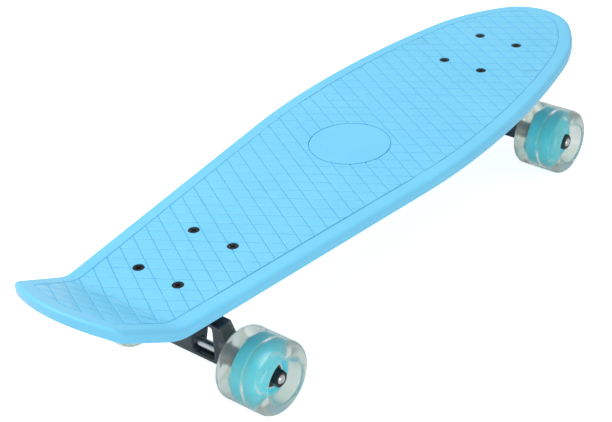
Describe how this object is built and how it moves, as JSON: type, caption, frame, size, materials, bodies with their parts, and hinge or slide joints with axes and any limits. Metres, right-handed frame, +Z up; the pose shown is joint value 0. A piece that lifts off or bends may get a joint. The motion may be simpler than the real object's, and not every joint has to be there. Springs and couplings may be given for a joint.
{
  "type": "skateboard",
  "caption": "Moulded plastic cruiser skateboard with a waffle-top deck, kicktail, sprung steering trucks and clear soft wheels on bearings.",
  "frame": {"origin": "on the ground under the middle of the deck's length and width", "axes": "+X to the nose along the deck, +Y to the rider's left, +Z up from the ground"},
  "size_m": [0.685, 0.199, 0.1416],
  "materials": {
    "deck_plastic": "satin moulded, light sky blue",
    "black_casting": "black coated casting",
    "zinc_steel": "bright zinc plated",
    "black_steel": "black oxide",
    "bearing_steel": "ground",
    "black_plastic": "matte moulded",
    "bushing_urethane": "satin cast",
    "clear_urethane": "clear, faint green tint",
    "core_plastic": "moulded, cyan blue"
  },
  "bodies": {
    "deck": {"deck": "deck_plastic", "mounting_screws": "black_steel", "mounting_nuts": "zinc_steel", "front_baseplate": "black_casting", "front_pivot_cup": "black_plastic", "front_kingpin": "zinc_steel", "front_kingpin_nut": "zinc_steel", "front_board_washer": "zinc_steel", "front_board_bushing": "bushing_urethane", "front_road_bushing": "bushing_urethane", "front_road_washer": "zinc_steel", "rear_baseplate": "black_casting", "rear_pivot_cup": "black_plastic", "rear_kingpin": "zinc_steel", "rear_kingpin_nut": "zinc_steel", "rear_board_washer": "zinc_steel", "rear_board_bushing": "bushing_urethane", "rear_road_bushing": "bushing_urethane", "rear_road_washer": "zinc_steel"},
    "front_hanger": {"front_hanger": "black_casting", "front_axle": "zinc_steel", "front_axle_washers": "zinc_steel", "front_axle_nuts": "black_steel", "front_left_inner_races": "bearing_steel", "front_left_spacer": "zinc_steel", "front_right_inner_races": "bearing_steel", "front_right_spacer": "zinc_steel"},
    "front_left_wheel": {"front_left_tyre": "clear_urethane", "front_left_core": "core_plastic", "front_left_outer_races": "bearing_steel", "front_left_ball_cages": "black_plastic", "front_left_bearing_balls": "bearing_steel", "front_left_bearing_shields": "black_plastic"},
    "front_right_wheel": {"front_right_tyre": "clear_urethane", "front_right_core": "core_plastic", "front_right_outer_races": "bearing_steel", "front_right_ball_cages": "black_plastic", "front_right_bearing_balls": "bearing_steel", "front_right_bearing_shields": "black_plastic"},
    "rear_hanger": {"rear_hanger": "black_casting", "rear_axle": "zinc_steel", "rear_axle_washers": "zinc_steel", "rear_axle_nuts": "black_steel", "rear_left_inner_races": "bearing_steel", "rear_left_spacer": "zinc_steel", "rear_right_inner_races": "bearing_steel", "rear_right_spacer": "zinc_steel"},
    "rear_left_wheel": {"rear_left_tyre": "clear_urethane", "rear_left_core": "core_plastic", "rear_left_outer_races": "bearing_steel", "rear_left_ball_cages": "black_plastic", "rear_left_bearing_balls": "bearing_steel", "rear_left_bearing_shields": "black_plastic"},
    "rear_right_wheel": {"rear_right_tyre": "clear_urethane", "rear_right_core": "core_plastic", "rear_right_outer_races": "bearing_steel", "rear_right_ball_cages": "black_plastic", "rear_right_bearing_balls": "bearing_steel", "rear_right_bearing_shields": "black_plastic"}
  },
  "joints": [
    {"name": "front_steer", "type": "hinge", "parent": "deck", "child": "front_hanger", "pos_m": [0.2485, 0, 0.075], "axis": [0.9192, 0, 0.3939], "range_deg": [-15, 15], "stiffness_Nm_per_rad": 40, "deforming": ["front_board_bushing", "front_road_bushing"]},
    {"name": "front_left_spin", "type": "hinge", "parent": "front_hanger", "child": "front_left_wheel", "pos_m": [0.227, 0.0755, 0.031], "axis": [0, 1, 0], "continuous": true},
    {"name": "front_right_spin", "type": "hinge", "parent": "front_hanger", "child": "front_right_wheel", "pos_m": [0.227, -0.0755, 0.031], "axis": [0, 1, 0], "continuous": true},
    {"name": "rear_steer", "type": "hinge", "parent": "deck", "child": "rear_hanger", "pos_m": [-0.2311, 0, 0.075], "axis": [-0.9192, 0, 0.3939], "range_deg": [-15, 15], "stiffness_Nm_per_rad": 40, "deforming": ["rear_board_bushing", "rear_road_bushing"]},
    {"name": "rear_left_spin", "type": "hinge", "parent": "rear_hanger", "child": "rear_left_wheel", "pos_m": [-0.2096, 0.0755, 0.031], "axis": [0, 1, 0], "continuous": true},
    {"name": "rear_right_spin", "type": "hinge", "parent": "rear_hanger", "child": "rear_right_wheel", "pos_m": [-0.2096, -0.0755, 0.031], "axis": [0, 1, 0], "continuous": true}
  ]
}
